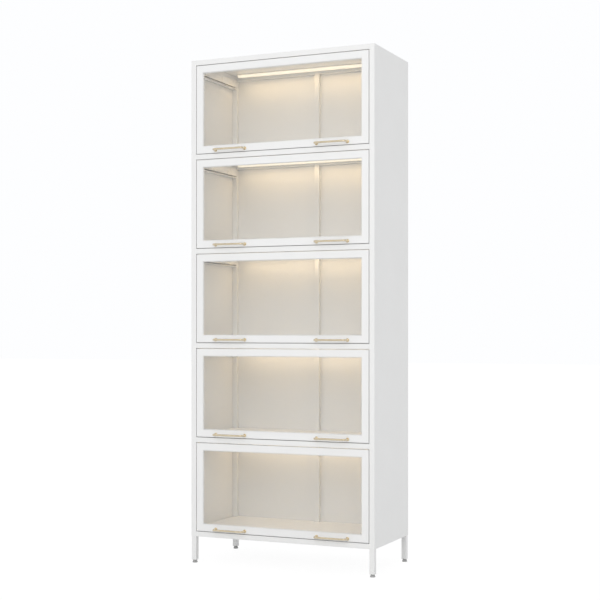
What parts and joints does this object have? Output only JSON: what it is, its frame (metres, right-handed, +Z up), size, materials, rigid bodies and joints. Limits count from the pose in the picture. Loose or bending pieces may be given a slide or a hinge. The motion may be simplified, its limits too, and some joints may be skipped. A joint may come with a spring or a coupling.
{
  "type": "barrister bookcase",
  "caption": "Tall steel bookcase of stacked glazed tiers; each framed glass door lifts on side pivots and slides back; light bars, slim pulls and levelling feet.",
  "frame": {"origin": "on the floor, at the middle of the overall width and depth", "axes": "+Z up, +Y to the back, -Y is the front with the doors, +X to the right seen from the front"},
  "size_m": [0.78, 0.41, 2],
  "materials": {
    "white_frame": "satin",
    "white_sheet": "satin",
    "white_door": "satin",
    "white_track": "satin",
    "white_board": "satin",
    "glass": "gloss",
    "gasket": "matte",
    "handle_brass": "satin",
    "screw_steel": "satin",
    "roller_nylon": "satin",
    "light_housing": "satin",
    "light_strip": "satin",
    "light_lens": "matte",
    "light_end_cap": "satin",
    "leg_insert": "matte",
    "foot": "matte"
  },
  "bodies": {
    "cabinet": {"back_centre_posts": "white_frame", "back_panel_left": "white_sheet", "back_panel_right": "white_sheet", "back_panel_screws": "screw_steel", "bottom_panel": "white_sheet", "door_tracks": "white_track", "front_post_left": "white_frame", "front_post_right": "white_frame", "front_rails": "white_frame", "leg_inserts": "leg_insert", "light_end_caps": "light_end_cap", "light_housings": "light_housing", "light_lenses": "light_lens", "light_strips": "light_strip", "rear_post_left": "white_frame", "rear_post_right": "white_frame", "rear_rails": "white_frame", "shelf_1": "white_sheet", "shelf_2": "white_sheet", "shelf_3": "white_sheet", "shelf_4": "white_sheet", "shelf_boards": "white_board", "side_panel_left": "white_sheet", "side_panel_right": "white_sheet", "side_rails": "white_frame", "top_panel": "white_sheet"},
    "foot_front_left": {"foot_front_left": "foot"},
    "foot_front_right": {"foot_front_right": "foot"},
    "foot_rear_left": {"foot_rear_left": "foot"},
    "foot_rear_right": {"foot_rear_right": "foot"},
    "door_1_carrier": {"door_1_rollers": "roller_nylon"},
    "door_1": {"door_1_frame": "white_door", "door_1_glass": "glass", "door_1_gasket": "gasket", "door_1_handles": "handle_brass", "door_1_handle_screws": "screw_steel"},
    "door_2_carrier": {"door_2_rollers": "roller_nylon"},
    "door_2": {"door_2_frame": "white_door", "door_2_glass": "glass", "door_2_gasket": "gasket", "door_2_handles": "handle_brass", "door_2_handle_screws": "screw_steel"},
    "door_3_carrier": {"door_3_rollers": "roller_nylon"},
    "door_3": {"door_3_frame": "white_door", "door_3_glass": "glass", "door_3_gasket": "gasket", "door_3_handles": "handle_brass", "door_3_handle_screws": "screw_steel"},
    "door_4_carrier": {"door_4_rollers": "roller_nylon"},
    "door_4": {"door_4_frame": "white_door", "door_4_glass": "glass", "door_4_gasket": "gasket", "door_4_handles": "handle_brass", "door_4_handle_screws": "screw_steel"},
    "door_5_carrier": {"door_5_rollers": "roller_nylon"},
    "door_5": {"door_5_frame": "white_door", "door_5_glass": "glass", "door_5_gasket": "gasket", "door_5_handles": "handle_brass", "door_5_handle_screws": "screw_steel"}
  },
  "joints": [
    {"name": "foot_front_left_turn", "type": "hinge", "parent": "cabinet", "child": "foot_front_left", "pos_m": [-0.379, -0.165, 0], "axis": [0, 0, 1], "continuous": true},
    {"name": "foot_front_right_turn", "type": "hinge", "parent": "cabinet", "child": "foot_front_right", "pos_m": [0.379, -0.165, 0], "axis": [0, 0, 1], "continuous": true},
    {"name": "foot_rear_left_turn", "type": "hinge", "parent": "cabinet", "child": "foot_rear_left", "pos_m": [-0.379, 0.1925, 0], "axis": [0, 0, 1], "continuous": true},
    {"name": "foot_rear_right_turn", "type": "hinge", "parent": "cabinet", "child": "foot_rear_right", "pos_m": [0.379, 0.1925, 0], "axis": [0, 0, 1], "continuous": true},
    {"name": "door_1_slide", "type": "slide", "parent": "cabinet", "child": "door_1_carrier", "axis": [0, 1, 0], "range_m": [0, 0.28]},
    {"name": "door_1_lift", "type": "hinge", "parent": "door_1_carrier", "child": "door_1", "pos_m": [0, -0.167, 0.4505], "axis": [-1, 0, 0], "range_deg": [0, 90]},
    {"name": "door_2_slide", "type": "slide", "parent": "cabinet", "child": "door_2_carrier", "axis": [0, 1, 0], "range_m": [0, 0.28]},
    {"name": "door_2_lift", "type": "hinge", "parent": "door_2_carrier", "child": "door_2", "pos_m": [0, -0.167, 0.8255], "axis": [-1, 0, 0], "range_deg": [0, 90]},
    {"name": "door_3_slide", "type": "slide", "parent": "cabinet", "child": "door_3_carrier", "axis": [0, 1, 0], "range_m": [0, 0.28]},
    {"name": "door_3_lift", "type": "hinge", "parent": "door_3_carrier", "child": "door_3", "pos_m": [0, -0.167, 1.2005], "axis": [-1, 0, 0], "range_deg": [0, 90]},
    {"name": "door_4_slide", "type": "slide", "parent": "cabinet", "child": "door_4_carrier", "axis": [0, 1, 0], "range_m": [0, 0.28]},
    {"name": "door_4_lift", "type": "hinge", "parent": "door_4_carrier", "child": "door_4", "pos_m": [0, -0.167, 1.5755], "axis": [-1, 0, 0], "range_deg": [0, 90]},
    {"name": "door_5_slide", "type": "slide", "parent": "cabinet", "child": "door_5_carrier", "axis": [0, 1, 0], "range_m": [0, 0.28]},
    {"name": "door_5_lift", "type": "hinge", "parent": "door_5_carrier", "child": "door_5", "pos_m": [0, -0.167, 1.9505], "axis": [-1, 0, 0], "range_deg": [0, 90]}
  ],
  "couplings": [
    {"joint": "door_1_slide", "follows": "door_1_lift", "m_per_rad": 0.1782},
    {"joint": "door_2_slide", "follows": "door_2_lift", "m_per_rad": 0.1782},
    {"joint": "door_3_slide", "follows": "door_3_lift", "m_per_rad": 0.1782},
    {"joint": "door_4_slide", "follows": "door_4_lift", "m_per_rad": 0.1782},
    {"joint": "door_5_slide", "follows": "door_5_lift", "m_per_rad": 0.1782}
  ]
}
